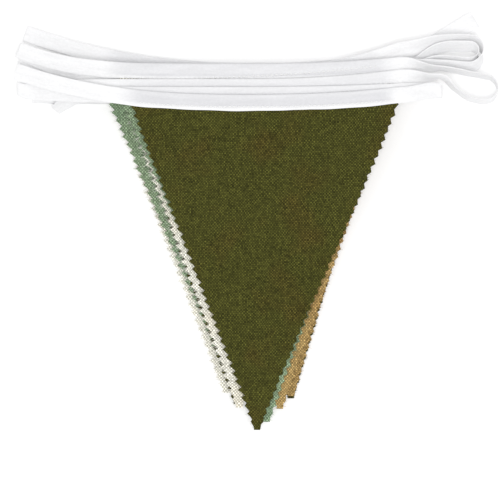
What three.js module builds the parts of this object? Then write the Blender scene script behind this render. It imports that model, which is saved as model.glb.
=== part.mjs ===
// A string of fabric bunting, folded up and lying flat.
// Nine pinked pennants hang in one tape, which is folded lengthwise over their top edges.
// The tape runs back and forth, so the pennants lie in one stack and its turns stick out on both sides.
// Millimetres, +Z up. +X runs along the tape, +Y points from the pennants' tips to the tape.

import * as THREE from 'three';

// Pennants
const PENNANT_WIDTH = 174;
const TIP_WIDTH = 4;
const CLOTH = 1;
const TEETH = 41;
const TOOTH_DEPTH = 1.5;
const TOP_EDGE_STEPS = 8;

// Tape: two leaves joined along a fold, with a slot between them that holds the cloth
const TAPE_WIDTH = 10;
const LEAF = 0.5;
const GAP = 0.3;
const OPEN_SLOT = CLOTH + 2 * GAP;
const CLOSED_SLOT = GAP;
const OPEN_TAPE = OPEN_SLOT + 2 * LEAF;
const CLOSED_TAPE = CLOSED_SLOT + 2 * LEAF;

// Heights: runs that hold cloth, loose runs past the cloth, and pennants in the flat part of the stack.
// One bare run lies on the table, under all the others.
const BARE_RUN_HEIGHT = CLOSED_TAPE + GAP;
const RUN_PITCH = OPEN_TAPE + GAP;
const LOOSE_PITCH = 2;
const CLOTH_PITCH = CLOTH + GAP;
const FLOOR_RUN = CLOSED_TAPE / 2;

// Below the tape a pennant slopes down to the flat part of the stack
const SLOPE_START = 1.5;
const SLOPE_LENGTH = 100;

// The runs bow towards their ends, and hold cloth between these two places
const BOW_CENTRE = -5;
const RIGHT_POWER = 2.2;
const CLOTH_LEFT = -103;
const CLOTH_RIGHT = 92;
const CLOTH_STEPS = 10;
const LOOSE_STEPS = 4;
const FOLD_ANGLES = [-45, 0, 45];

const COLOURS = { olive: 0x4a4a21, sage: 0x82a582, gold: 0xc59a58, cream: 0xe0dacb, white: 0xf6f6f4 };
const CLOTH_ROUGHNESS = 0.9;
const TAPE_ROUGHNESS = 0.5;

// One row for each run that holds a pennant, from the lowest to the top one.
// leftX, leftY, leftPower: its left end, and how late it bends there.
// midY, rightY: its middle line at the bow's centre, and where the cloth ends.
const RUNS = [
  { leftX: -149, leftY: 120.3, leftPower: 2.2, midY: 95.7, rightY: 104 },
  { leftX: -149, leftY: 120.3, leftPower: 2.2, midY: 95.9, rightY: 93.5 },
  { leftX: -153.5, leftY: 97.5, leftPower: 2.2, midY: 95.2, rightY: 93.8 },
  { leftX: -153.5, leftY: 97.5, leftPower: 2.2, midY: 92.5, rightY: 109 },
  { leftX: -153, leftY: 109.4, leftPower: 4.5, midY: 90, rightY: 98 },
  { leftX: -153, leftY: 109.4, leftPower: 4.5, midY: 94.6, rightY: 99 },
  { leftX: -153, leftY: 82.5, leftPower: 5, midY: 84.9, rightY: 91 },
  { leftX: -153, leftY: 82.5, leftPower: 5, midY: 79.7, rightY: 82 },
  { leftX: -155, leftY: 95.4, leftPower: 2.6, midY: 74.6, rightY: 79.5 },
];

// The pennants, from the lowest to the top one. Each hangs in a run of its own.
// topX, tipX, tipY: the middle of its top edge, and its tip. Their lengths differ a little, as they are cut.
const PENNANTS = [
  { colour: 'olive', length: 211, topX: -1.2, tipX: 21.7, tipY: -114.6 },
  { colour: 'cream', length: 211, topX: -16.4, tipX: -19.6, tipY: -110.9 },
  { colour: 'gold', length: 211, topX: -0.7, tipX: 22.1, tipY: -113 },
  { colour: 'sage', length: 211, topX: -16.4, tipX: -10.8, tipY: -116.5 },
  { colour: 'olive', length: 211, topX: -3.7, tipX: -13, tipY: -118 },
  { colour: 'cream', length: 213, topX: -4.4, tipX: -11.4, tipY: -120.3 },
  { colour: 'gold', length: 209.5, topX: 4.8, tipX: 14.7, tipY: -121 },
  { colour: 'sage', length: 211, topX: -2.9, tipX: 6.2, tipY: -129.3 },
  { colour: 'olive', length: 211, topX: 4.6, tipX: 0, tipY: -134.4 },
];

// The bare run on the table, from its flat turn at the upper right to its left fold.
// spread: how far one leaf has slipped out from under the other.
const BARE_RUN = [
  { x: 138.4, y: 128.9, spread: 1.5 },
  { x: 128, y: 122.8, spread: 1 },
  { x: 112, y: 112, spread: 0 },
  { x: 80, y: 97, spread: 0 },
  { x: 20, y: 87, spread: 0 },
  { x: -60, y: 81, spread: 0 },
  { x: -115, y: 79.6, spread: 0 },
  { x: -143, y: 80.4, spread: 0 },
];

// The lowest run's way from that flat turn to where the cloth starts
const CORNER = [
  { x: 138.4, y: 128.9, spread: 1.5 },
  { x: 128, y: 122.8, spread: 1 },
  { x: 116, y: 115.2, spread: 0.5 },
  { x: 104, y: 108.5, spread: 0 },
];
const CORNER_HEIGHT = FLOOR_RUN + LOOSE_PITCH;

// From its left fold the bare end goes back to the right, folds once more and twists out from under the tape.
// turn: how far it stands up on its open edge, in degrees.
const TAIL = [
  { x: -143, y: 80.4, z: 2.7 },
  { x: -128, y: 80.4, z: 2.7 },
  { x: -111, y: 80.4, z: 2.7 },
];
const TAIL_END = [
  { x: -111, y: 80.4, z: 5.1, turn: 0 },
  { x: -117, y: 79.4, z: 5.5, turn: 8 },
  { x: -123, y: 75.6, z: 6, turn: 34 },
  { x: -129.5, y: 70.4, z: 5, turn: 55 },
];

// Right turns, in the order of the runs they join. Each twists up onto its edge before it goes round.
// turn: how far it stands up, in degrees. inY, outY: where it stands. midX, midY, radius: the round end.
// inZ, endZ: heights of its middle line. waist: places that the way back passes.
const STANDING_X = 118;
const RIGHT_TURNS = [
  { turn: 50, inY: 110.4, outY: 102.4, midX: 136, midY: 106.4, radius: 5.2, inZ: 9, endZ: 7.3, waist: [] },
  { turn: 50, inY: 115, outY: 99.2, midX: 136, midY: 106.9, radius: 8.6, inZ: 11.5, endZ: 7.3, waist: [] },
  {
    turn: 76, inY: 96.6, outY: 91.5, midX: 146.5, midY: 84.2, radius: 7.8, inZ: 17, endZ: 7,
    waist: [{ x: 137, y: 77.4, z: 8 }, { x: 127.5, y: 83.4, z: 9.5 }, { x: 121.5, y: 89, z: 12.5 }],
  },
];

// share: how much of the turn is done at this place
const TWIST = [
  { x: 96, share: 0.16 },
  { x: 102, share: 0.55 },
  { x: 109, share: 0.84 },
  { x: STANDING_X, share: 1 },
];
const ROUND_STEPS = 6;
const SPLINE_STEPS = 2;

// The last right turn is a flat fold, under the top run
const FLAT_TURN = { x: 116.2, y: 83.2, lowZ: 13.6, highZ: 17.8 };
const SINK_STEPS = 4;

const lerp = THREE.MathUtils.lerp;
const smoothstep = THREE.MathUtils.smoothstep;

// The tape's middle line, seen from above
function runY(run, x) {
  const left = { endX: run.leftX, endY: run.leftY, power: run.leftPower };
  const right = { endX: CLOTH_RIGHT, endY: run.rightY, power: RIGHT_POWER };
  const { endX, endY, power } = x < BOW_CENTRE ? left : right;
  const reach = (x - BOW_CENTRE) / (endX - BOW_CENTRE);
  return run.midY + (endY - run.midY) * reach ** power;
}

function clothZ(level) {
  return BARE_RUN_HEIGHT + OPEN_TAPE / 2 + level * RUN_PITCH;
}

function looseZ(level) {
  return FLOOR_RUN + level * LOOSE_PITCH;
}

// A run from its left turn to where the cloth ends on the right
function runStations(level) {
  const run = RUNS[level];
  const stations = [];
  const leftEnd = run.leftX + LOOSE_PITCH / 2;
  for (let i = 0; i < LOOSE_STEPS; i++) {
    const x = lerp(leftEnd, CLOTH_LEFT, i / LOOSE_STEPS);
    const z = lerp(looseZ(level), clothZ(level), smoothstep(x, leftEnd, CLOTH_LEFT));
    stations.push({ x, y: runY(run, x), z, turn: 0, slot: CLOSED_SLOT });
  }
  for (let i = 0; i <= CLOTH_STEPS; i++) {
    const x = lerp(CLOTH_LEFT, CLOTH_RIGHT, i / CLOTH_STEPS);
    stations.push({ x, y: runY(run, x), z: clothZ(level), turn: 0, slot: OPEN_SLOT });
  }
  return stations;
}

// Catmull-Rom through the rows, with even steps between them
function spline(rows) {
  const places = rows.map((row) => new THREE.Vector3(row.x, row.y, row.z));
  const curve = new THREE.CatmullRomCurve3(places, false, 'centripetal');
  const stations = [];
  const count = (rows.length - 1) * SPLINE_STEPS;
  for (let i = 0; i <= count; i++) {
    const p = curve.getPoint(i / count);
    const row = Math.min(Math.floor(i / SPLINE_STEPS), rows.length - 2);
    const part = i / SPLINE_STEPS - row;
    const turn = lerp(rows[row].turn, rows[row + 1].turn, part);
    const slot = lerp(rows[row].slot, rows[row + 1].slot, part);
    const spread = lerp(rows[row].spread ?? 0, rows[row + 1].spread ?? 0, part);
    stations.push({ x: p.x, y: p.y, z: Math.max(p.z, FLOOR_RUN), turn, slot, spread, lean: rows[row].lean });
  }
  return stations;
}

// Which way a run points at its end, seen from above
function outwards(end, before) {
  return new THREE.Vector2(end.x - before.x, end.y - before.y).normalize();
}

// A half round fold in the height, from the end of one run to the end of the run above it
function flatFold(low, beforeLow, high, beforeHigh) {
  const radius = (high.z - low.z) / 2;
  const lowWay = outwards(low, beforeLow);
  const highWay = outwards(high, beforeHigh);
  return FOLD_ANGLES.map((angle) => {
    const a = THREE.MathUtils.degToRad(angle);
    const part = (1 + Math.sin(a)) / 2;
    const way = lowWay.clone().lerp(highWay, part).normalize();
    return {
      x: lerp(low.x, high.x, part) + way.x * radius * Math.cos(a),
      y: lerp(low.y, high.y, part) + way.y * radius * Math.cos(a),
      z: lerp(low.z, high.z, part),
      lean: THREE.MathUtils.radToDeg(Math.atan(-way.y / way.x)),
      turn: 0,
      slot: CLOSED_SLOT,
      spread: low.spread,
    };
  });
}

// The twist from the end of a run up onto its edge
function twistRows(turn, level, edgeY) {
  return TWIST.map(({ x, share }) => ({
    x,
    y: lerp(RUNS[level].rightY, edgeY, smoothstep(x, CLOTH_RIGHT, STANDING_X)),
    z: lerp(clothZ(level), turn.inZ, share),
    lean: 0,
    turn: turn.turn * share,
    slot: CLOSED_SLOT,
  }));
}

// A standing turn between the run at this level and the one above it
function standingTurn(turn, level, before, after) {
  const standing = { lean: 0, turn: turn.turn, slot: CLOSED_SLOT };
  const rows = [before, ...twistRows(turn, level, turn.inY)];
  for (let i = 0; i <= ROUND_STEPS; i++) {
    const a = Math.PI * (0.5 - i / ROUND_STEPS);
    rows.push({
      x: turn.midX + turn.radius * Math.cos(a),
      y: turn.midY + turn.radius * Math.sin(a),
      z: turn.endZ,
      ...standing,
    });
  }
  rows.push(...turn.waist.map((place) => ({ ...place, ...standing })));
  rows.push(...twistRows(turn, level + 1, turn.outY).reverse(), after);
  return spline(rows).slice(1, -1);
}

// A top run past the cloth, sinking to the flat turn
function sinkingEnd(from, z) {
  const stations = [];
  for (let i = 1; i <= SINK_STEPS; i++) {
    const x = lerp(CLOTH_RIGHT, FLAT_TURN.x, i / SINK_STEPS);
    const way = smoothstep(x, CLOTH_RIGHT, FLAT_TURN.x);
    stations.push({
      x,
      y: lerp(from.y, FLAT_TURN.y, way),
      z: lerp(from.z, z, way),
      turn: 0,
      slot: CLOSED_SLOT,
    });
  }
  return stations;
}

function sinkingTurn(before, after) {
  const low = sinkingEnd(before, FLAT_TURN.lowZ);
  const high = sinkingEnd(after, FLAT_TURN.highZ);
  return [...low, ...flatFold(low.at(-1), low.at(-2), high.at(-1), high.at(-2)), ...high.reverse()];
}

// The bare end: from its cut end, along the table and round the upper right turn to the lowest run's cloth
function bareStations() {
  const flat = { turn: 0, slot: CLOSED_SLOT };
  const end = spline(TAIL_END.map((place) => ({ ...place, slot: CLOSED_SLOT })));
  const tail = spline(TAIL.map((place) => ({ ...place, ...flat })));
  const bare = spline(BARE_RUN.map((place) => ({ ...place, z: FLOOR_RUN, ...flat })));
  const corner = CORNER.map((place) => ({ ...place, z: CORNER_HEIGHT, ...flat }));
  return [
    ...end.toReversed(),
    ...flatFold(tail.at(-1), tail.at(-2), end[0], end[1]).reverse(),
    ...tail.toReversed(),
    ...flatFold(bare.at(-1), bare.at(-2), tail[0], tail[1]).reverse(),
    ...bare.toReversed(),
    ...flatFold(bare[0], bare[1], corner[0], corner[1]),
    ...corner,
  ];
}

// The whole tape, from the bare cut end to the top run's cut end on the left
function tapeStations() {
  const runs = RUNS.map((_, level) => runStations(level));
  const path = [...bareStations(), ...runs[0].reverse()];
  for (let level = 1; level < RUNS.length; level += 2) {
    const before = runs[level].at(-1);
    const after = runs[level + 1].at(-1);
    const turn = RIGHT_TURNS[(level - 1) / 2];
    path.push(...flatFold(path.at(-1), path.at(-2), runs[level][0], runs[level][1]));
    path.push(...runs[level]);
    path.push(...(turn ? standingTurn(turn, level, before, after) : sinkingTurn(before, after)));
    path.push(...runs[level + 1].reverse());
  }
  return path;
}

// The tape's section: across its width from the open edge to the fold, and through its thickness
function tapeSection(slot, spread = 0) {
  const edge = TAPE_WIDTH / 2;
  const inside = slot / 2;
  const outside = inside + LEAF;
  return [
    [-edge, inside], [-edge, outside], [edge, outside], [edge, -outside],
    [-edge - spread, -outside], [-edge - spread, -inside], [edge - LEAF, -inside], [edge - LEAF, inside],
  ];
}

// Sides of the section that run from the fold to the open edge. Their faces are split the other way,
// so that the faces of both leaves stay parallel where the tape twists.
const TOWARDS_OPEN_EDGE = [3, 7];

function closedGeometry(points, triangles) {
  const geometry = new THREE.BufferGeometry();
  geometry.setAttribute('position', new THREE.Float32BufferAttribute(points.flat(), 3));
  geometry.setIndex(triangles.flat());
  geometry.computeVertexNormals();
  return geometry;
}

function tapeGeometry() {
  const path = tapeStations();
  const centres = path.map((s) => new THREE.Vector3(s.x, s.y, s.z));
  const points = [];
  const triangles = [];
  const sides = tapeSection(CLOSED_SLOT).length;
  path.forEach((station, i) => {
    const ahead = centres[Math.min(i + 1, path.length - 1)];
    const behind = centres[Math.max(i - 1, 0)];
    const along = new THREE.Vector3().subVectors(ahead, behind).normalize();
    const turn = THREE.MathUtils.degToRad(station.turn);
    const ownLean = Math.atan(-along.y / along.x);
    const lean = station.lean === undefined ? ownLean : THREE.MathUtils.degToRad(station.lean);
    const flat = Math.cos(turn);
    const across = new THREE.Vector3(flat * Math.sin(lean), flat * Math.cos(lean), Math.sin(turn));
    across.addScaledVector(along, -across.dot(along)).normalize();
    const through = new THREE.Vector3().crossVectors(along, across);
    for (const [u, v] of tapeSection(station.slot, station.spread)) {
      points.push(centres[i].clone().addScaledVector(across, u).addScaledVector(through, v).toArray());
    }
  });
  for (let i = 0; i + 1 < path.length; i++) {
    for (let j = 0; j < sides; j++) {
      const a = i * sides + j;
      const b = i * sides + ((j + 1) % sides);
      const backwards = TOWARDS_OPEN_EDGE.includes(j);
      triangles.push([a, a + sides, backwards ? b + sides : b]);
      triangles.push(backwards ? [a, b + sides, b] : [b, a + sides, b + sides]);
    }
  }
  const outline = tapeSection(CLOSED_SLOT).map(([u, v]) => new THREE.Vector2(u, v));
  const last = (path.length - 1) * sides;
  for (const [a, b, c] of THREE.ShapeUtils.triangulateShape(outline, [])) {
    triangles.push([a, c, b], [last + a, last + b, last + c]);
  }
  return closedGeometry(points, triangles);
}

// How high a pennant's middle lies at a place along its length.
// It slopes down once it is past its own run and the runs under it.
function pennantZ(level, y) {
  const lowestY = Math.min(...RUNS.slice(0, level + 1).map((run) => run.midY));
  const start = lowestY - TAPE_WIDTH / 2 - SLOPE_START;
  const flat = CLOTH / 2 + level * CLOTH_PITCH;
  return lerp(flat, clothZ(level), smoothstep(y, start - SLOPE_LENGTH, start));
}

// Rows of places across the pennant, from its top edge to its tip, with a tooth every second row
function pennantRows(run, pennant) {
  const topY = pennant.tipY + pennant.length;
  const intoTape = topY - run.midY;
  const rows = [];
  const top = [];
  for (let i = 0; i <= TOP_EDGE_STEPS; i++) {
    const x = pennant.topX + PENNANT_WIDTH * (i / TOP_EDGE_STEPS - 0.5);
    top.push([x, runY(run, x) + intoTape]);
  }
  rows.push(top);
  for (let i = 1; i <= 2 * TEETH; i++) {
    const part = i / (2 * TEETH);
    const peak = lerp(PENNANT_WIDTH, TIP_WIDTH, part) / 2;
    const half = i % 2 ? peak - Math.min(TOOTH_DEPTH, peak / 4) : peak;
    const x = lerp(pennant.topX, pennant.tipX, part);
    const y = lerp(topY, pennant.tipY, part);
    rows.push([[x - half, y], [x + half, y]]);
  }
  return rows;
}

// Triangles between two rows that may have different numbers of places
function bridge(upper, lower) {
  const triangles = [];
  let i = 0;
  let j = 0;
  while (i + 1 < upper.length || j + 1 < lower.length) {
    const upperNext = (i + 1) / (upper.length - 1);
    const lowerNext = (j + 1) / (lower.length - 1);
    if (j + 1 >= lower.length || (i + 1 < upper.length && upperNext <= lowerNext)) {
      triangles.push([upper[i], lower[j], upper[i + 1]]);
      i++;
    } else {
      triangles.push([upper[i], lower[j], lower[j + 1]]);
      j++;
    }
  }
  return triangles;
}

function pennantGeometry(pennant, level) {
  const rows = pennantRows(RUNS[level], pennant);
  const places = rows.flat();
  const points = [CLOTH / 2, -CLOTH / 2].flatMap((lift) => (
    places.map(([x, y]) => [x, y, pennantZ(level, y) + lift])));
  const under = places.length;
  let count = 0;
  const numbered = rows.map((row) => row.map(() => count++));
  const triangles = [];
  for (let i = 0; i + 1 < numbered.length; i++) {
    for (const [a, b, c] of bridge(numbered[i], numbered[i + 1])) {
      triangles.push([a, b, c], [a + under, c + under, b + under]);
    }
  }
  const left = numbered.map((row) => row[0]);
  const right = numbered.map((row) => row.at(-1)).reverse();
  const rim = [...left, ...right, ...numbered[0].slice(1, -1).reverse()];
  rim.forEach((a, i) => {
    const b = rim[(i + 1) % rim.length];
    triangles.push([a, a + under, b], [b, a + under, b + under]);
  });
  return closedGeometry(points, triangles);
}

function piece(name, geometry, colour, roughness) {
  const material = new THREE.MeshStandardMaterial({ color: COLOURS[colour], roughness, metalness: 0 });
  const mesh = new THREE.Mesh(geometry, material);
  mesh.name = name;
  return mesh;
}

const bunting = new THREE.Group();
bunting.add(piece('tape', tapeGeometry(), 'white', TAPE_ROUGHNESS));
PENNANTS.forEach((pennant, level) => {
  const name = `pennant_${PENNANTS.length - level}_${pennant.colour}`;
  bunting.add(piece(name, pennantGeometry(pennant, level), pennant.colour, CLOTH_ROUGHNESS));
});

// The origin is under the middle of the whole
const box = new THREE.Box3().setFromObject(bunting);
const centre = box.getCenter(new THREE.Vector3());
bunting.position.set(-centre.x, -centre.y, -box.min.z);

export default bunting;
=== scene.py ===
# Folded fabric bunting: thin cloth pennants sewn into one long satin tape.
# The tables are in millimetres, in the same layout as the part's solids; meshes are made in metres.

import math
import random
from collections import namedtuple

import bpy
import numpy as np
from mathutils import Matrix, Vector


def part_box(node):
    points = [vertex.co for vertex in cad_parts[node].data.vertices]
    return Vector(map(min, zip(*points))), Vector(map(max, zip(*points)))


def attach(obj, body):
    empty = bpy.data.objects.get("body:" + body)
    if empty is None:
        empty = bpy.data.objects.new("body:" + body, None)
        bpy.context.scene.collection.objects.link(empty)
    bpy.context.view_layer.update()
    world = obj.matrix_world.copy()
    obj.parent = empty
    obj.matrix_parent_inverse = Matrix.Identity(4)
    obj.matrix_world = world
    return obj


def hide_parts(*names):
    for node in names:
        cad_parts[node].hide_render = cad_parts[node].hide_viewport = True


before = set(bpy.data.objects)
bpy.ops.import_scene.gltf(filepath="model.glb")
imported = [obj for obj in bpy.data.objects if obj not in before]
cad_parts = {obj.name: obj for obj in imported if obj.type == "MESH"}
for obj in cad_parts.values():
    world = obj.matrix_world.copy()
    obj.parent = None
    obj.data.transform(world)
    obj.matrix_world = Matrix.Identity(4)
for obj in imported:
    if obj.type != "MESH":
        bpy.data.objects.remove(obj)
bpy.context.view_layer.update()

MM = 0.001

# Layout, as in the solids

PENNANT_WIDTH = 174
TIP_WIDTH = 4
CLOTH = 1
TEETH = 41
TOOTH_DEPTHS = (2.2, 1.6)  # on the left and the right edge
TOOTH_SKEWS = (4 / 6, 2 / 6)  # where along a tooth its notch is deepest

TAPE_WIDTH = 10
LEAF = 0.5
GAP = 0.3
OPEN_TAPE = CLOTH + 2 * GAP + 2 * LEAF
CLOSED_TAPE = GAP + 2 * LEAF
BARE_RUN_HEIGHT = CLOSED_TAPE + GAP
RUN_PITCH = OPEN_TAPE + GAP
LOOSE_PITCH = 2
CLOTH_PITCH = CLOTH + GAP
FLOOR_RUN = CLOSED_TAPE / 2
SLOPE_START = 1.5
SLOPE_LENGTH = 100
BOW_CENTRE = -5
RIGHT_POWER = 2.2
CLOTH_LEFT = -103
CLOTH_RIGHT = 92

Run = namedtuple("Run", "left_x left_y left_power mid_y right_y")
RUNS = [
    Run(-149, 120.3, 2.2, 95.7, 104),
    Run(-149, 120.3, 2.2, 95.9, 93.5),
    Run(-153.5, 97.5, 2.2, 95.2, 93.8),
    Run(-153.5, 97.5, 2.2, 92.5, 109),
    Run(-153, 109.4, 4.5, 90, 98),
    Run(-153, 109.4, 4.5, 94.6, 99),
    Run(-153, 82.5, 5, 84.9, 91),
    Run(-153, 82.5, 5, 79.7, 82),
    Run(-155, 95.4, 2.6, 74.6, 79.5),
]

Pennant = namedtuple("Pennant", "colour length top_x tip_x tip_y")
PENNANTS = [
    Pennant("olive", 211, -1.2, 21.7, -114.6),
    Pennant("cream", 211, -16.4, -19.6, -110.9),
    Pennant("gold", 211, -0.7, 22.1, -113),
    Pennant("sage", 211, -16.4, -10.8, -116.5),
    Pennant("olive", 211, -3.7, -13, -118),
    Pennant("cream", 213, -4.4, -11.4, -120.3),
    Pennant("gold", 209.5, 4.8, 14.7, -121),
    Pennant("sage", 211, -2.9, 6.2, -129.3),
    Pennant("olive", 211, 4.6, 0, -134.4),
]

Loose = namedtuple("Loose", "x y spread")
BARE_RUN = [
    Loose(138.4, 128.9, 1.5),
    Loose(128, 122.8, 1),
    Loose(112, 112, 0),
    Loose(80, 97, 0),
    Loose(20, 87, 0),
    Loose(-60, 81, 0),
    Loose(-115, 79.6, 0),
    Loose(-143, 80.4, 0),
]
CORNER = [Loose(138.4, 128.9, 1.5), Loose(128, 122.8, 1), Loose(116, 115.2, 0.5), Loose(104, 108.5, 0)]
CORNER_HEIGHT = FLOOR_RUN + LOOSE_PITCH

Place = namedtuple("Place", "x y z")
TAIL = [Place(-143, 80.4, 2.7), Place(-128, 80.4, 2.7), Place(-111, 80.4, 2.7)]
TailEnd = namedtuple("TailEnd", "x y z turn")
TAIL_END = [
    TailEnd(-111, 80.4, 5.1, 0),
    TailEnd(-117, 79.4, 5.5, 8),
    TailEnd(-123, 75.6, 6, 34),
    TailEnd(-129.5, 70.4, 5, 55),
]

STANDING_X = 118
Turn = namedtuple("Turn", "turn in_y out_y mid_x mid_y radius in_z end_z waist")
RIGHT_TURNS = [
    Turn(50, 110.4, 102.4, 136, 106.4, 5.2, 9, 7.3, []),
    Turn(50, 115, 99.2, 136, 106.9, 8.6, 11.5, 7.3, []),
    Turn(76, 96.6, 91.5, 146.5, 84.2, 7.8, 17, 7,
         [Place(137, 77.4, 8), Place(127.5, 83.4, 9.5), Place(121.5, 89, 12.5)]),
]
Twist = namedtuple("Twist", "x share")
TWIST = [Twist(96, 0.16), Twist(102, 0.55), Twist(109, 0.84), Twist(STANDING_X, 1)]
ROUND_STEPS = 6
FLAT_TURN = {"x": 116.2, "y": 83.2, "low_z": 13.6, "high_z": 17.8}
ROUNDED_FOLD = 7  # the run whose left fold is rounded off
FOLD_ROUNDING = (12, 6)  # along and across the tape
TURN_ROUNDING = (10, 5)
WANDERING_RUN = 5  # the run whose seam wanders across it
WANDER = (-3.6, -0.5)  # from this place across the tape to that one,
WANDER_X = (-21, 50)  # between these two places along it

# Looks

SHEET = 0.55  # thickness of the shown cloth
TAPE_LEAF = 0.3  # thickness of one shown leaf of the tape
SEAM_U = -2.7  # the seam's place across the tape, from its middle
SHADE_FADE = 14  # the painted shade on the tape fades out over this length at both ends of the cloth
SHADE_REST = 0.7  # how much of the painted shade is left where the tape holds no cloth
STITCH_RADII = [0.16, 0.5, 0.6, 0.5, 0.16]
STITCH_LIFT = 0.32  # how far a stitch stands out from the tape
BACK_SHADE = 0.55  # how strong the painted shade is on the tape of the runs behind the front one
CLOTH_STEPS = 130  # half a stitch each
LOOSE_STEPS = 26
SPLINE_STEPS = 9
SINK_STEPS = 18
FOLD_ANGLES = range(-75, 76, 15)
ROW_STEPS = 3  # rows of cloth for half a tooth
EDGE_OUT = 0.3  # how far the teeth stand out
EDGE_SWAY = 0.8  # how far the top pennant's right edge bends out and in
COLUMNS = [0, 0.006, 0.02, 0.05, 0.1, 0.18, 0.28, 0.39, 0.5, 0.61, 0.72, 0.82, 0.9, 0.95, 0.98, 0.994, 1]

WARP = 0.95  # distance between the cloth's threads
WEFT = 1.05

# The light on a level surface. Colours are given as seen in it, 0 to 255.
# A cloth has two tones, the strength of its speckle and the darkness of its pinholes, which is painted
# shade.
LIGHT = 1.1
Cloth = namedtuple("Cloth", "tone other_tone speckle hole")
CLOTHS = {
    "olive": Cloth((80, 80, 33), (84, 76, 32), 0.38, 0.65),
    "sage": Cloth((148, 169, 136), (138, 162, 130), 0.3, 0.5),
    "gold": Cloth((188, 158, 102), (178, 142, 86), 0.34, 0.5),
    "cream": Cloth((255, 252, 238), (253, 247, 228), 0.16, 0.2),
}
TAPE_WHITE = (254, 254, 255)
# Grey of the tape where it holds cloth: partly painted shade, partly the dark cloth seen through the thin
# tape
TAPE_PAINTED_SHADE = (228, 228, 231)
THREAD_WHITE = (255, 255, 255)
FLOOR_REFLECTANCE = 0.85
# The floor's glow is painted light: it fills the shadows on the floor and lights the undersides of the tape
FLOOR_PAINTED_GLOW = 0.2

# Fibres that stick out for each tooth, and how long the longest are
FRAY = {"olive": (6, 1.4), "sage": (12, 2.0), "gold": (9, 1.6), "cream": (22, 3.2)}


def lerp(a, b, t):
    return a + (b - a) * t


def smooth(x, low, high):
    t = np.clip((x - low) / (high - low), 0, 1)
    return t * t * (3 - 2 * t)


def paint(rgb, share=1.0):
    """The reflectance that looks like this colour in the scene's light."""
    parts = [min(v * share / 255, 1) for v in rgb]
    seen = [c / 12.92 if c <= 0.04045 else ((c + 0.055) / 1.055) ** 2.4 for c in parts]
    return [c / LIGHT for c in seen] + [1]


def ripple(t, *waves):
    """A smooth wandering line: a sum of (size, wavelength, phase)."""
    return sum(a * np.sin(2 * np.pi * t / w + p) for a, w, p in waves)


# The tape's path


def run_y(run, x):
    left, right = (run.left_x, run.left_y, run.left_power), (CLOTH_RIGHT, run.right_y, RIGHT_POWER)
    end_x, end_y, power = left if x < BOW_CENTRE else right
    return run.mid_y + (end_y - run.mid_y) * ((x - BOW_CENTRE) / (end_x - BOW_CENTRE)) ** power


def cloth_z(level):
    return BARE_RUN_HEIGHT + OPEN_TAPE / 2 + level * RUN_PITCH


def station(x, y, z, turn=0, lean=None, spread=0, level=None, hole=None):
    return {
        "x": x, "y": y, "z": z, "turn": turn, "lean": lean, "spread": spread, "level": level, "hole": hole,
        "open_trim": 0, "fold_trim": 0}


def rounding(stations, key, end_x, reach, depth):
    """Rounds off one edge of the tape towards a fold at end_x."""
    for s in stations:
        near = max(0, 1 - abs(end_x - s["x"]) / reach)
        s[key] = depth * (1 - math.sqrt(max(0, 1 - near * near)))
    return stations


def run_stations(level):
    run = RUNS[level]
    left_end = run.left_x + LOOSE_PITCH / 2
    low = FLOOR_RUN + level * LOOSE_PITCH
    stations = []
    for i in range(LOOSE_STEPS):
        x = lerp(left_end, CLOTH_LEFT, i / LOOSE_STEPS)
        z = lerp(low, cloth_z(level), smooth(x, left_end, CLOTH_LEFT))
        stations.append(station(x, run_y(run, x), z, level=level))
    for i in range(CLOTH_STEPS + 1):
        x = lerp(CLOTH_LEFT, CLOTH_RIGHT, i / CLOTH_STEPS)
        stations.append(station(x, run_y(run, x), cloth_z(level), level=level, hole=i % 2 == 0))
    return stations


def spline(rows):
    """Centripetal Catmull-Rom through the rows."""
    p = np.array([[r["x"], r["y"], r["z"]] for r in rows], float)
    p = np.vstack([2 * p[0] - p[1], p, 2 * p[-1] - p[-2]])
    stations = []
    for i in range(len(rows) - 1):
        a, b, c, d = p[i : i + 4]
        t0, t1, t2 = (max(np.linalg.norm(v - u), 1e-6) ** 0.5 for u, v in ((a, b), (b, c), (c, d)))
        m1 = ((b - a) / t0 - (c - a) / (t0 + t1) + (c - b) / t1) * t1
        m2 = ((c - b) / t1 - (d - b) / (t1 + t2) + (d - c) / t2) * t1
        for k in range(SPLINE_STEPS + (i == len(rows) - 2)):
            t = k / SPLINE_STEPS
            q = b + m1 * t + (3 * (c - b) - 2 * m1 - m2) * t**2 + (2 * (b - c) + m1 + m2) * t**3
            turn, spread = (lerp(rows[i][key], rows[i + 1][key], t) for key in ("turn", "spread"))
            stations.append(station(q[0], q[1], max(q[2], FLOOR_RUN), turn, rows[i]["lean"], spread))
    return stations


def flat_fold(low, before_low, high, before_high):
    def outwards(end, before):
        v = np.array([end["x"] - before["x"], end["y"] - before["y"]])
        return v / np.linalg.norm(v)

    radius = (high["z"] - low["z"]) / 2
    low_way, high_way = outwards(low, before_low), outwards(high, before_high)
    stations = []
    for angle in FOLD_ANGLES:
        a = math.radians(angle)
        part = (1 + math.sin(a)) / 2
        way = lerp(low_way, high_way, part)
        way = way / np.linalg.norm(way)
        out = radius * math.cos(a)
        x, y, z = (lerp(low[k], high[k], part) for k in "xyz")
        lean = math.degrees(math.atan(-way[1] / way[0]))
        stations.append(station(x + way[0] * out, y + way[1] * out, z, lean=lean, spread=low["spread"]))
    return stations


def twist_rows(turn, level, edge_y):
    rows = []
    for x, share in TWIST:
        y = lerp(RUNS[level].right_y, edge_y, smooth(x, CLOTH_RIGHT, STANDING_X))
        rows.append(station(x, y, lerp(cloth_z(level), turn.in_z, share), turn.turn * share, lean=0))
    return rows


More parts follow.
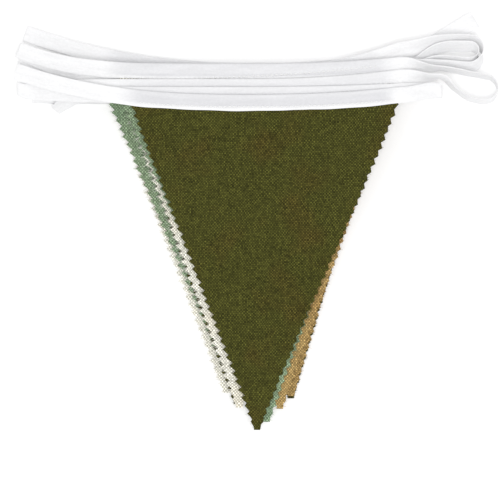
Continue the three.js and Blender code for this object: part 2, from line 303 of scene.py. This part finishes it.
def standing_turn(turn, level, before, after):
    rows = [before, *twist_rows(turn, level, turn.in_y)]
    for i in range(ROUND_STEPS + 1):
        a = math.pi * (0.5 - i / ROUND_STEPS)
        x, y = turn.mid_x + turn.radius * math.cos(a), turn.mid_y + turn.radius * math.sin(a)
        rows.append(station(x, y, turn.end_z, turn.turn, lean=0))
    rows += [station(*p, turn.turn, lean=0) for p in turn.waist]
    rows += [*reversed(twist_rows(turn, level + 1, turn.out_y)), after]
    return spline(rows)[1:-1]


def sinking_turn(before, after):
    def sinking_end(start, z):
        stations = []
        for i in range(1, SINK_STEPS + 1):
            x = lerp(CLOTH_RIGHT, FLAT_TURN["x"], i / SINK_STEPS)
            way = smooth(x, CLOTH_RIGHT, FLAT_TURN["x"])
            stations.append(station(x, lerp(start["y"], FLAT_TURN["y"], way), lerp(start["z"], z, way)))
        return stations

    low = sinking_end(before, FLAT_TURN["low_z"])
    high = sinking_end(after, FLAT_TURN["high_z"])
    turn = [*low, *flat_fold(low[-1], low[-2], high[-1], high[-2]), *reversed(high)]
    return rounding(turn, "fold_trim", max(s["x"] for s in turn), *TURN_ROUNDING)


def bare_stations(lowest):
    """From the bare cut end, along the table and round the upper right turn to the lowest run's cloth."""
    end = spline([station(p.x, p.y, p.z, p.turn) for p in TAIL_END])
    tail = spline([station(*p) for p in TAIL])
    bare = spline([station(p.x, p.y, FLOOR_RUN, spread=p.spread) for p in BARE_RUN])
    corner = spline([*(station(p.x, p.y, CORNER_HEIGHT, spread=p.spread) for p in CORNER), lowest])[:-1]
    return [
        *reversed(end),
        *reversed(flat_fold(tail[-1], tail[-2], end[0], end[1])),
        *reversed(tail),
        *reversed(flat_fold(bare[-1], bare[-2], tail[0], tail[1])),
        *reversed(bare),
        *flat_fold(bare[0], bare[1], corner[0], corner[1]),
        *corner,
    ]


def tape_stations():
    runs = [run_stations(level) for level in range(len(RUNS))]
    path = [*bare_stations(runs[0][-1]), *reversed(runs[0])]
    for level in range(1, len(RUNS), 2):
        before, after = runs[level][-1], runs[level + 1][-1]
        fold = flat_fold(path[-1], path[-2], runs[level][0], runs[level][1])
        if level == ROUNDED_FOLD:
            for stations in (fold, runs[level], runs[level - 1]):
                rounding(stations, "open_trim", RUNS[level].left_x, *FOLD_ROUNDING)
        path += [*fold, *runs[level]]
        turn = (level - 1) // 2
        if turn < len(RIGHT_TURNS):
            path += standing_turn(RIGHT_TURNS[turn], level, before, after)
        else:
            path += sinking_turn(before, after)
        path += reversed(runs[level + 1])
    return path


# Mesh and material helpers

low_corner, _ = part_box("pennant_1_olive")
SHIFT = np.array([
    low_corner[0] / MM - (PENNANTS[-1].top_x - PENNANT_WIDTH / 2),
    low_corner[1] / MM - PENNANTS[-1].tip_y,
    0,
])


def make_piece(name, points, faces, material, sharp=50, **attributes):
    """A mesh piece from points in millimetres. attributes: a number or a vector for each point."""
    mesh = bpy.data.meshes.new(name)
    mesh.from_pydata((np.asarray(points) + SHIFT) * MM, [], [tuple(int(i) for i in f) for f in faces])
    for key, values in attributes.items():
        values = np.asarray(values, float)
        kind = "FLOAT_VECTOR" if values.ndim == 2 else "FLOAT"
        data = mesh.attributes.new(key, kind, "POINT").data
        data.foreach_set("vector" if values.ndim == 2 else "value", values.ravel())
    mesh.materials.append(material)
    mesh.shade_smooth()
    mesh.set_sharp_from_angle(angle=math.radians(sharp))
    obj = bpy.data.objects.new(name, mesh)
    bpy.context.scene.collection.objects.link(obj)
    return obj


class Graph:
    """Short calls for a material's nodes."""

    def __init__(self, name):
        self.material = bpy.data.materials.new(name)
        self.material.use_nodes = True
        self.nodes = self.material.node_tree.nodes
        self.links = self.material.node_tree.links
        self.shader = next(n for n in self.nodes if n.type == "BSDF_PRINCIPLED")

    def put(self, socket, value):
        if isinstance(value, bpy.types.NodeSocket):
            self.links.new(value, socket)
        else:
            socket.default_value = value

    def add(self, kind, inputs=None, output=0, **settings):
        node = self.nodes.new(kind)
        for key, value in settings.items():
            setattr(node, key, value)
        for key, value in (inputs or {}).items():
            self.put(node.inputs[key], value)
        return node.outputs[output]

    def math(self, operation, *values):
        return self.add("ShaderNodeMath", dict(enumerate(values)), operation=operation)

    def vector(self, x, y, z=0.0):
        return self.add("ShaderNodeCombineXYZ", {"X": x, "Y": y, "Z": z})

    def noise(self, where, scale, detail=2.0):
        return self.add("ShaderNodeTexNoise", {"Vector": where, "Scale": scale, "Detail": detail})

    def spread(self, value, low, high, to_low, to_high):
        inputs = {0: value, 1: low, 2: high, 3: to_low, 4: to_high}
        return self.add("ShaderNodeMapRange", inputs, clamp=True)

    def mix(self, part, a, b):
        """Colours a and b, mixed."""
        node = self.nodes.new("ShaderNodeMix")
        node.data_type = "RGBA"
        for socket, value in ((node.inputs[0], part), (node.inputs[6], a), (node.inputs[7], b)):
            self.put(socket, value)
        return node.outputs[2]

    def shade(self, colour, factor):
        """A colour times a number."""
        return self.add("ShaderNodeVectorMath", {0: colour, "Scale": factor}, operation="SCALE")

    def bump(self, height, strength, distance, normal=None):
        inputs = {"Height": height, "Strength": strength, "Distance": distance}
        if normal is not None:
            inputs["Normal"] = normal
        return self.add("ShaderNodeBump", inputs)

    def finish(self, **values):
        for key, value in values.items():
            self.put(self.shader.inputs[key.replace("_", " ")], value)
        return self.material


def cloth_material(name, cloth):
    """Open plain weave: threads over and under each other, with pinholes between them. The low parts of the
    threads and the pinholes are darkened with painted shade.
    """
    g = Graph(name)
    flat = g.add("ShaderNodeAttribute", output="Vector", attribute_name="flat")
    sway = g.add("ShaderNodeTexNoise", {"Vector": flat, "Scale": 0.045, "Detail": 2.0}, output="Color")
    sway = g.add("ShaderNodeVectorMath", {0: sway, 1: (-0.5, -0.5, -0.5)}, operation="ADD")
    woven = g.add("ShaderNodeVectorMath", {0: sway, 1: (5.0, 5.0, 0.0), 2: flat}, operation="MULTIPLY_ADD")
    split = g.nodes.new("ShaderNodeSeparateXYZ")
    g.links.new(woven, split.inputs[0])
    u, v = g.math("DIVIDE", split.outputs[0], WARP), g.math("DIVIDE", split.outputs[1], WEFT)
    warp_no, weft_no = g.math("FLOOR", u), g.math("FLOOR", v)
    warp = g.math("SINE", g.math("MULTIPLY", g.math("FRACT", u), math.pi))
    weft = g.math("SINE", g.math("MULTIPLY", g.math("FRACT", v), math.pi))
    over = g.math("FLOORED_MODULO", g.math("ADD", warp_no, weft_no), 2.0)
    warp_high = g.math("MULTIPLY", warp, g.math("MULTIPLY_ADD", weft, 0.5, 0.5))
    weft_high = g.math("MULTIPLY", weft, g.math("MULTIPLY_ADD", warp, 0.5, 0.5))
    either = g.add("ShaderNodeMix", {0: over, 2: warp_high, 3: weft_high}, data_type="FLOAT")
    height = g.math("MAXIMUM", either, g.math("MULTIPLY", g.math("MAXIMUM", warp_high, weft_high), 0.72))
    hole = g.math("MULTIPLY", g.math("SUBTRACT", 1.0, warp), g.math("SUBTRACT", 1.0, weft))
    hole = g.spread(hole, 0.12, 0.5, 0.0, cloth.hole)
    warp_tone = g.noise(g.vector(g.math("MULTIPLY", warp_no, 7.3), g.math("MULTIPLY", v, 0.12)), 1.0)
    weft_tone = g.noise(g.vector(g.math("MULTIPLY", u, 0.1), g.math("MULTIPLY", weft_no, 5.7), 3.0), 1.0)
    tone = g.add("ShaderNodeMix", {0: over, 2: warp_tone, 3: weft_tone}, data_type="FLOAT")
    fleck = g.add("ShaderNodeTexWhiteNoise", {"Vector": g.vector(warp_no, weft_no)}, noise_dimensions="2D")
    lively = g.spread(g.noise(flat, 0.07, 2.0), 0.35, 0.62, 0.7, 1.1)
    strength = g.math("MULTIPLY", lively, 2 * cloth.speckle)
    fleck = g.math("MULTIPLY", g.math("SUBTRACT", fleck, 0.5), strength)
    fuzz = g.noise(flat, 3.1, 2.0)
    light = g.math("MULTIPLY", g.spread(tone, 0.25, 0.75, 0.7, 1.3), g.math("ADD", 1.0, fleck))
    light = g.math("MULTIPLY", light, g.spread(over, 0.0, 1.0, 1.3, 0.7))
    # Painted shade: the low parts of the threads darker, and below, the pinholes dark
    light = g.math("MULTIPLY", light, g.spread(height, 0.0, 1.0, 0.8, 1.08))
    light = g.math("MULTIPLY", light, g.spread(fuzz, 0.25, 0.75, 0.92, 1.08))
    light = g.math("MULTIPLY", light, g.math("SUBTRACT", 1.0, hole))
    patches = g.spread(g.noise(flat, 0.03, 3.0), 0.5, 0.68, 0.0, 1.0)
    colour = g.mix(patches, paint(cloth.tone), paint(cloth.other_tone))
    normal = g.bump(height, 0.75, 0.0004)
    rough = g.spread(fuzz, 0.2, 0.8, 0.86, 0.98)
    return g.finish(
        Base_Color=g.shade(colour, light), Normal=normal, Roughness=rough,
        Specular_IOR_Level=0.08, Sheen_Weight=0.03, Sheen_Roughness=0.6,
    )


def fibre_material(name, cloth):
    g = Graph(name)
    where = g.add("ShaderNodeTexCoord", output="Object")
    tone = g.noise(where, 900.0, 1.0)
    colour = g.mix(tone, paint(cloth.other_tone, 0.94), paint(cloth.tone, 1.08))
    return g.finish(Base_Color=colour, Roughness=0.9, Specular_IOR_Level=0.1)


def tape_material():
    """Smooth tape: fine ribs across, a few soft creases along with painted shade in them, and a grey where
    it holds cloth, partly painted shade, partly the dark cloth seen through the thin tape.
    """
    g = Graph("white_tape")
    flat = g.add("ShaderNodeAttribute", output="Vector", attribute_name="flat")
    inside = g.add("ShaderNodeAttribute", output="Fac", attribute_name="inside")
    split = g.nodes.new("ShaderNodeSeparateXYZ")
    g.links.new(flat, split.inputs[0])
    along, across = split.outputs[0], split.outputs[1]
    ribs = g.math("SINE", g.math("MULTIPLY", along, 2 * math.pi / 0.42))
    yarns = g.noise(g.vector(g.math("MULTIPLY", along, 0.12), g.math("MULTIPLY", across, 4.2)), 1.0, 2.0)
    creases = g.noise(g.vector(g.math("MULTIPLY", along, 0.05), g.math("MULTIPLY", across, 0.28)), 1.0, 3.0)
    blots = g.vector(g.math("MULTIPLY", along, 0.5), g.math("MULTIPLY", across, 0.8), 5.0)
    mottle = g.noise(blots, 1.0, 3.0)
    # Painted shade along the soft creases, times random mottle and yarn tone
    shade = g.spread(creases, 0.3, 0.7, 0.95, 1.02)
    shade = g.math("MULTIPLY", shade, g.spread(mottle, 0.3, 0.7, 0.96, 1.02))
    shade = g.math("MULTIPLY", shade, g.spread(yarns, 0.25, 0.75, 0.98, 1.01))
    # Painted shade where the tape holds cloth, partly the dark cloth seen through it
    colour = g.mix(inside, paint(TAPE_WHITE), paint(TAPE_PAINTED_SHADE))
    fine = g.math("ADD", g.math("MULTIPLY", ribs, 0.25), yarns)
    normal = g.bump(creases, 0.35, 0.0012, g.bump(fine, 0.25, 0.00008))
    rough = g.spread(yarns, 0.25, 0.75, 0.5, 0.66)
    return g.finish(
        Base_Color=g.shade(colour, shade), Normal=normal, Roughness=rough,
        Specular_IOR_Level=0.25, Sheen_Weight=0.05, Sheen_Roughness=0.4,
    )


def thread_material():
    """Sewing thread: two twisted plies."""
    g = Graph("sewing_thread")
    flat = g.add("ShaderNodeAttribute", output="Vector", attribute_name="flat")
    split = g.nodes.new("ShaderNodeSeparateXYZ")
    g.links.new(flat, split.inputs[0])
    twist = g.math("MULTIPLY_ADD", split.outputs[0], 9.0, g.math("MULTIPLY", split.outputs[1], 2.0))
    ply = g.math("SINE", twist)
    # Painted shade in the grooves between the twisted plies
    colour = g.mix(g.spread(ply, -1.0, 1.0, 0.0, 1.0), paint(THREAD_WHITE, 0.95), paint(THREAD_WHITE))
    return g.finish(Base_Color=colour, Normal=g.bump(ply, 0.4, 0.00006), Roughness=0.45)


# Pennants


def pennant_z(level, y):
    start = min(run.mid_y for run in RUNS[: level + 1]) - TAPE_WIDTH / 2 - SLOPE_START
    climb = smooth(y, start - SLOPE_LENGTH, start)
    flat = CLOTH / 2 + level * CLOTH_PITCH
    settle = 0.2 * (1 - climb)
    swell = (1 - climb) * (ripple(y, (0.16, 83, 0.4), (0.07, 41, 2.0)))
    return lerp(flat, cloth_z(level), climb) - settle + np.maximum(swell, -0.05 * (level == 0))


def notch(part, deepest):
    """How far into its notch a tooth's edge is, 0 to 1."""
    return part / deepest if part < deepest else (1 - part) / (1 - deepest)


def pennant_grid(level, rng):
    """Places and flat places of a pennant, row by row from its top edge to its tip."""
    pennant, run = PENNANTS[level], RUNS[level]
    top_y = pennant.tip_y + pennant.length
    rows = 2 * TEETH * ROW_STEPS
    depth = [[1 + rng.uniform(-0.22, 0.22) for _ in range(TEETH + 1)] for _ in range(2)]
    reach = [[rng.uniform(-0.3, 0.3) for _ in range(TEETH + 1)] for _ in range(2)]
    curl = [[rng.uniform(-0.12, 0.22) for _ in range(TEETH + 1)] for _ in range(2)]
    columns = np.array(COLUMNS)
    places, flats = [], []
    for i in range(rows + 1):
        part = i / rows
        tooth = part * TEETH
        k = int(round(tooth))
        peak = lerp(PENNANT_WIDTH, TIP_WIDTH, part) / 2
        edges, valleys = [], []
        for side in range(2):
            valley = notch(tooth - math.floor(tooth), TOOTH_SKEWS[side])
            deep = min(TOOTH_DEPTHS[side], peak / 4)
            out = (EDGE_OUT + reach[side][k]) * (1 - valley) if i and peak > 6 else 0
            sway = EDGE_SWAY * math.sin(2 * math.pi * part) if side and level == len(PENNANTS) - 1 else 0
            edges.append(peak - deep * valley * depth[side][int(tooth)] + out + sway)
            valleys.append(valley)
        middle = lerp(pennant.top_x, pennant.tip_x, part)
        y0 = lerp(top_y, pennant.tip_y, part)
        fade = 1 - smooth(part * pennant.length, 0, 9)
        x = middle - edges[0] + (edges[0] + edges[1]) * columns
        y = np.full(len(x), y0)
        for j, xj in enumerate(x):
            y[j] += fade * (run_y(run, xj) - run.mid_y)
        z = pennant_z(level, y)
        lifts = [curl[side][k] * (1 - 0.7 * valleys[side]) for side in range(2)]
        rim = lifts[0] * (1 - smooth(x - x[0], 0, 4)) + lifts[1] * (1 - smooth(x[-1] - x, 0, 4))
        z = z + rim * smooth(part * pennant.length, 14, 30)
        places.append(np.column_stack([x, y, z]))
        down = np.full(len(x), part * pennant.length)
        flats.append(np.column_stack([x - middle, down, np.zeros(len(x))]))
    return np.array(places), np.array(flats)


def sheet_faces(rows, columns):
    """A closed thin sheet from a grid: its top, its underside and its rim."""
    count = rows * columns
    no = np.arange(count).reshape(rows, columns)
    a, b, c, d = (no[:-1, :-1].ravel(), no[1:, :-1].ravel(), no[1:, 1:].ravel(), no[:-1, 1:].ravel())
    faces = [*zip(a, b, c, d), *zip(a + count, d + count, c + count, b + count)]
    rim = [*no[:, 0], *no[-1, 1:], *no[-2::-1, -1], *no[0, -2:0:-1]]
    faces += [(p, p + count, q + count, q) for p, q in zip(rim, [*rim[1:], rim[0]])]
    return faces


def fibres(places, rng, count, longest):
    """Short loose threads along both pinked edges, as thin tapered tubes."""
    points, faces = [], []
    sides = 3
    for side, column in ((-1, 0), (1, -1)):
        edge = places[:, column]
        for _ in range(count * TEETH):
            row = rng.uniform(6, len(edge) - 1.001)
            i = int(row)
            start = lerp(edge[i], edge[i + 1], row - i) - np.array([side * 0.35, 0, 0])
            length = 0.35 + 0.4 + rng.random() ** 2.2 * longest
            angle = rng.gauss(0, 0.42)
            way = np.array([side * math.cos(angle), math.sin(angle) - 0.1, rng.uniform(-0.12, 0.1)])
            bend = np.array([rng.uniform(-0.25, 0.25), rng.uniform(-0.5, 0.5), rng.uniform(-0.2, 0.16)])
            radius = rng.uniform(0.07, 0.14)
            first = len(points)
            for k in range(4):
                t = k / 3
                centre = start + way * length * t + bend * length * t * t * 0.6
                centre[2] = max(centre[2], 0.12)
                thin = radius * (1 - 0.65 * t)
                for s in range(sides):
                    a = 2 * math.pi * s / sides
                    points.append(centre + thin * np.array([0, math.cos(a), math.sin(a)]))
            for k in range(3):
                for s in range(sides):
                    a, b = first + k * sides + s, first + k * sides + (s + 1) % sides
                    faces.append((a, b, b + sides, a + sides) if side < 0 else (a, a + sides, b + sides, b))
            ends = ([0, 1, 2], [9, 11, 10])
            for end in ends:
                faces.append([first + e for e in (end if side > 0 else end[::-1])])
    return points, faces


cloth_materials = {name: cloth_material(f"{name}_cloth", cloth) for name, cloth in CLOTHS.items()}
fibre_materials = {name: fibre_material(f"{name}_fibre", cloth) for name, cloth in CLOTHS.items()}


def make_pennant(level):
    pennant = PENNANTS[level]
    tag = f"{len(PENNANTS) - level}_{pennant.colour}"
    rng = random.Random(100 + level)
    places, flats = pennant_grid(level, rng)
    rows, columns = places.shape[:2]
    up = np.array([0, 0, SHEET / 2])
    points = np.vstack([(places + up).reshape(-1, 3), (places - up).reshape(-1, 3)])
    flat = np.vstack([flats.reshape(-1, 3)] * 2) + np.array([37.0 * level, 53.0 * level, 0])
    cloth = make_piece(
        f"cloth_{tag}", points, sheet_faces(rows, columns), cloth_materials[pennant.colour], flat=flat)
    count, longest = FRAY[pennant.colour]
    fray = make_piece(f"fray_{tag}", *fibres(places, rng, count, longest), fibre_materials[pennant.colour])
    for piece in (cloth, fray):
        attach(piece, "root")
    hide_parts(f"pennant_{tag}")
    return cloth.name


# Tape

CLOSED_HALF_GAP = 0.24
OPEN_HALF_GAP = 0.82
EDGE_PINCH = 0.2  # how much closer the leaves are along both edges
SEAM_PULL = 0.3
SEAM_WIDTH = 0.75
LEAF_PLACES = [-5, -4.2, -3.3, SEAM_U, -2.1, -0.8, 1.4, 3.4, 4.4]
FOLD_PLACES = [60, 20, -20, -60]


def half_gap(u, open_part, press):
    """Half the distance between the leaves' middles. press: how deep the seam pulls them in."""
    opened = OPEN_HALF_GAP - EDGE_PINCH * smooth(u, 3, 5) - EDGE_PINCH * (1 - smooth(u, -5, -3.4))
    opened -= SEAM_PULL * press * math.exp(-(((u - SEAM_U) / SEAM_WIDTH) ** 2))
    return lerp(CLOSED_HALF_GAP, opened, open_part)


def tape_section(open_part, press, spread, edge, open_trim, fold_trim):
    """The folded tape's middle line.

    It goes along the upper leaf from its open edge, round the fold, and back along the lower leaf.
    open_trim and fold_trim: how far the two edges are drawn in.
    """
    upper = [(u + edge * smooth(-u, 2, 5), half_gap(u, open_part, press)) for u in LEAF_PLACES]
    lower = [(u - spread * smooth(-u, 1, 5), -half_gap(u, open_part, press)) for u in reversed(LEAF_PLACES)]
    end = half_gap(LEAF_PLACES[-1], open_part, press)
    fold = []
    for angle in FOLD_PLACES:
        a = math.radians(angle)
        fold.append((lerp(LEAF_PLACES[-1], TAPE_WIDTH / 2, math.cos(a)), end * math.sin(a)))
    section = np.array([*upper, *fold, *lower])
    u = section[:, 0]
    section[:, 0] = np.where(u < 0, u * (1 - open_trim / TAPE_WIDTH), u * (1 - fold_trim / TAPE_WIDTH))
    return section


def tape_frames(path):
    """Centres and the three directions at each station: along, across and through the tape."""
    centres = np.array([[s["x"], s["y"], s["z"]] for s in path])
    along = np.empty_like(centres)
    along[1:-1] = centres[2:] - centres[:-2]
    along[0], along[-1] = centres[1] - centres[0], centres[-1] - centres[-2]
    along /= np.linalg.norm(along, axis=1)[:, None]
    across = np.empty_like(centres)
    for i, s in enumerate(path):
        turn = math.radians(s["turn"])
        lean = math.atan(-along[i][1] / along[i][0]) if s["lean"] is None else math.radians(s["lean"])
        across[i] = (math.cos(turn) * math.sin(lean), math.cos(turn) * math.cos(lean), math.sin(turn))
    across -= along * np.sum(across * along, axis=1)[:, None]
    across /= np.linalg.norm(across, axis=1)[:, None]
    return centres, along, across, np.cross(along, across)


def evened(values, length, reach):
    """Running mean along the path."""
    sums = np.concatenate([[0], np.cumsum((values[1:] + values[:-1]) / 2 * np.diff(length))])
    low, high = np.clip(length - reach, 0, None), np.clip(length + reach, None, length[-1])
    return (np.interp(high, length, sums) - np.interp(low, length, sums)) / (high - low)


path = tape_stations()
centres, along, across, through = tape_frames(path)
length = np.concatenate([[0], np.cumsum(np.linalg.norm(np.diff(centres, axis=0), axis=1))])


def holds_cloth(s):
    if s["hole"] is None:
        return 0.0
    return float(abs(s["x"] - PENNANTS[s["level"]].top_x) < PENNANT_WIDTH / 2 + 1)


open_part = evened(np.array([holds_cloth(s) for s in path]), length, 5)
# How strongly the tape is painted with shade along its path: full on the front run and the wandering run,
# BACK_SHADE on the others, faded out at the cloth's ends
shaded = evened(np.array([holds_cloth(s) for s in path]), length, 8)
shaded *= [1.0 if s["level"] in (WANDERING_RUN, len(RUNS) - 1) else BACK_SHADE for s in path]
path_x = centres[:, 0]
shaded *= smooth(path_x, CLOTH_LEFT, CLOTH_LEFT + SHADE_FADE)
shaded *= smooth(path_x, CLOTH_RIGHT, CLOTH_RIGHT - SHADE_FADE)
loose = 1 - evened(np.array([float(s["hole"] is not None) for s in path]), length, 9)
billow = loose * ripple(length, (0.2, 47, 0.3), (0.12, 23, 1.7), (0.06, 11, 4.0))
edge_wander = ripple(length, (0.14, 31, 2.2), (0.08, 13, 0.6))
slip = 0.2 + ripple(length, (0.18, 71, 1.1), (0.12, 29, 3.4))

sections = []
points, flat, inside = [], [], []
for i, s in enumerate(path):
    press = 0 if s["hole"] is None else (1.0 if s["hole"] else 0.6)
    slipped = s["spread"] + max(slip[i], 0)
    section = tape_section(open_part[i], press, slipped, edge_wander[i], s["open_trim"], s["fold_trim"])
    sections.append(section)
    ahead = np.gradient(section, axis=0)
    ahead /= np.linalg.norm(ahead, axis=1)[:, None]
    outward = np.column_stack([-ahead[:, 1], ahead[:, 0]])
    centre = centres[i] + through[i] * billow[i] * (centres[i][2] > 1)
    unrolled = np.concatenate([[0], np.cumsum(np.linalg.norm(np.diff(section, axis=0), axis=1))])
    for ring in (section + outward * TAPE_LEAF / 2, (section - outward * TAPE_LEAF / 2)[::-1]):
        points.append(centre + across[i] * ring[:, :1] + through[i] * ring[:, 1:])
    for u in (unrolled, unrolled[::-1]):
        flat.append(np.column_stack([np.full(len(u), length[i]), u, np.zeros(len(u))]))
    # Painted shade across the tape: full from the seam to the cloth's top edge, SHADE_REST of it beyond
    if s["hole"] is None:
        painted_shade = np.zeros(len(section))
    else:
        pennant = PENNANTS[s["level"]]
        cloth_top = pennant.tip_y + pennant.length - RUNS[s["level"]].mid_y
        painted_shade = shaded[i] * lerp(1, SHADE_REST, smooth(section[:, 0], cloth_top - 0.8, cloth_top + 0.8))
        painted_shade = painted_shade * smooth(section[:, 0], SEAM_U - 1.4, SEAM_U + 0.6)
    inside += [painted_shade, painted_shade[::-1]]

ring = 2 * len(sections[0])
half = ring // 2
faces = []
for i in range(len(path) - 1):
    a = i * ring
    faces += [(a + j, a + ring + j, a + ring + (j + 1) % ring, a + (j + 1) % ring) for j in range(ring)]
last = (len(path) - 1) * ring
for j in range(half - 1):
    strip = (j, j + 1, ring - 2 - j, ring - 1 - j)
    faces.append(strip)
    faces.append([last + k for k in reversed(strip)])

tape = make_piece(
    "tape_cloth", np.vstack(points), faces, tape_material(), sharp=60,
    flat=np.vstack(flat), inside=np.concatenate(inside))
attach(tape, "root")
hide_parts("tape")


# Sewing


def surface(i, u, side, lift):
    """A place on the tape's outside: side 1 is the upper leaf, -1 the lower one."""
    section = sections[i]
    leaf = section[: len(LEAF_PLACES)] if side > 0 else section[len(section) - len(LEAF_PLACES) :][::-1]
    v = np.interp(u, leaf[:, 0], leaf[:, 1])
    return centres[i] + across[i] * u + through[i] * (v + side * (TAPE_LEAF / 2 + lift))


def tube(middle, radii, sides=6):
    """A closed tube along a few places."""
    middle = np.array(middle)
    way = np.gradient(middle, axis=0)
    way /= np.linalg.norm(way, axis=1)[:, None]
    points, faces = [], []
    for p, w, r in zip(middle, way, radii):
        e1 = np.cross(w, [0.31, 0.2, 0.93])
        e1 /= np.linalg.norm(e1)
        e2 = np.cross(w, e1)
        for a in np.arange(sides) * 2 * math.pi / sides:
            points.append(p + r * (e1 * math.cos(a) + e2 * math.sin(a)))
    for k in range(len(middle) - 1):
        for s in range(sides):
            a, b = k * sides + s, k * sides + (s + 1) % sides
            faces.append((a, b, b + sides, a + sides))
    end = (len(middle) - 1) * sides
    faces.append(tuple(reversed(range(sides))))
    faces.append(tuple(end + s for s in range(sides)))
    return points, faces


def seam_place(level, x):
    """The seam's place across the tape. On one run it wanders in from the open edge."""
    if level != WANDERING_RUN:
        return SEAM_U
    way = (x - WANDER_X[0]) / (WANDER_X[1] - WANDER_X[0])
    return lerp(WANDER[0], WANDER[1], min(max(way, -0.3), 1.3))


class Threads:
    def __init__(self):
        self.points, self.faces, self.flat = [], [], []

    def add(self, middle, radii, sides=6):
        points, faces = tube(middle, radii, sides)
        first = len(self.points)
        self.points += points
        self.faces += [tuple(first + k for k in f) for f in faces]
        for k in range(len(points)):
            self.flat.append((k // sides * 0.55, k % sides, 0))


threads = Threads()
by_run = {}
for i, s in enumerate(path):
    if s["hole"] is not None and open_part[i] > 0.9:
        by_run.setdefault(s["level"], []).append(i)

# The seam along the open edge of every run, on both leaves
for level, places in by_run.items():
    holes = [i for i in places if path[i]["hole"]]
    for a, b in zip(holes, holes[1:]):
        middle_i = (a + b) // 2
        if abs(b - a) != 2:
            continue
        u = seam_place(level, path[middle_i]["x"])
        for side in (1, -1):
            first, second = surface(a, u, side, -0.1), surface(b, u, side, -0.1)
            top = surface(middle_i, u, side, STITCH_LIFT)
            ends = lerp(first, second, 0.16), lerp(second, first, 0.16)
            stitch = [ends[0], lerp(first, top, 0.62), top, lerp(second, top, 0.62), ends[1]]
            threads.add(stitch, STITCH_RADII)

seam = make_piece("seam_threads", threads.points, threads.faces, thread_material(), flat=threads.flat)
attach(seam, "root")

below = []
for level in range(len(PENNANTS)):
    below = [make_pennant(level)]

# Floor, light and camera

floor_material = Graph("floor")
where = floor_material.add("ShaderNodeTexCoord", output="Object")
floor_colour = floor_material.mix(
    floor_material.noise(where, 2.0), [FLOOR_REFLECTANCE - 0.01] * 3 + [1], [FLOOR_REFLECTANCE] * 3 + [1])
floor_mesh = bpy.data.meshes.new("floor")
floor_mesh.from_pydata([(-9, -9, 0), (9, -9, 0), (9, 9, 0), (-9, 9, 0)], [], [(0, 1, 2, 3)])
# The floor glows though it is no lamp: painted light
floor_mesh.materials.append(floor_material.finish(
    Base_Color=floor_colour, Roughness=0.8, Specular_IOR_Level=0.1,
    Emission_Color=(1, 1, 1, 1), Emission_Strength=FLOOR_PAINTED_GLOW))
floor = bpy.data.objects.new("floor", floor_mesh)
bpy.context.scene.collection.objects.link(floor)

# Most of the light comes softly from above, the rest from all round
AROUND = 0.76
world = bpy.data.worlds.new("studio")
bpy.context.scene.world = world
world.use_nodes = True
background = world.node_tree.nodes["Background"]
background.inputs["Color"].default_value = (1, 1, 1, 1)
background.inputs["Strength"].default_value = AROUND


def area_light(name, place, size, energy, aim=(0, 0.02, 0)):
    data = bpy.data.lights.new(name, "AREA")
    data.shape = "DISK"
    data.size = size
    data.energy = energy
    lamp = bpy.data.objects.new(name, data)
    bpy.context.scene.collection.objects.link(lamp)
    lamp.location = place
    way = [a - b for a, b in zip(aim, place)]
    lamp.rotation_mode = "QUATERNION"
    lamp.rotation_quaternion = Vector(way).to_track_quat("-Z", "Y")
    return lamp


KEY_HEIGHT = 2.7
KEY_SIZE = 1.4
KEY_GAIN = 1.28  # makes up for the key light's slant and for the shade between layers
key_energy = KEY_GAIN * (LIGHT - AROUND) * (math.pi * KEY_HEIGHT) ** 2
area_light("key", (0.1, -0.4, KEY_HEIGHT), KEY_SIZE, key_energy)

# The photo's 500 pixels are 320 mm at the height of the stack
FRAME_WIDTH = 0.320
STACK_HEIGHT = 0.012
CAMERA_HEIGHT = 2.4
AIM = (-4.48, -19.2)
camera_data = bpy.data.cameras.new("camera")
camera_data.sensor_width = 36
camera_data.lens = 36 * (CAMERA_HEIGHT - STACK_HEIGHT) / FRAME_WIDTH
camera = bpy.data.objects.new("camera", camera_data)
bpy.context.scene.collection.objects.link(camera)
camera.location = ((AIM[0] + SHIFT[0]) * MM, (AIM[1] + SHIFT[1]) * MM, CAMERA_HEIGHT)
bpy.context.scene.camera = camera
bpy.context.scene.view_settings.view_transform = "Standard"
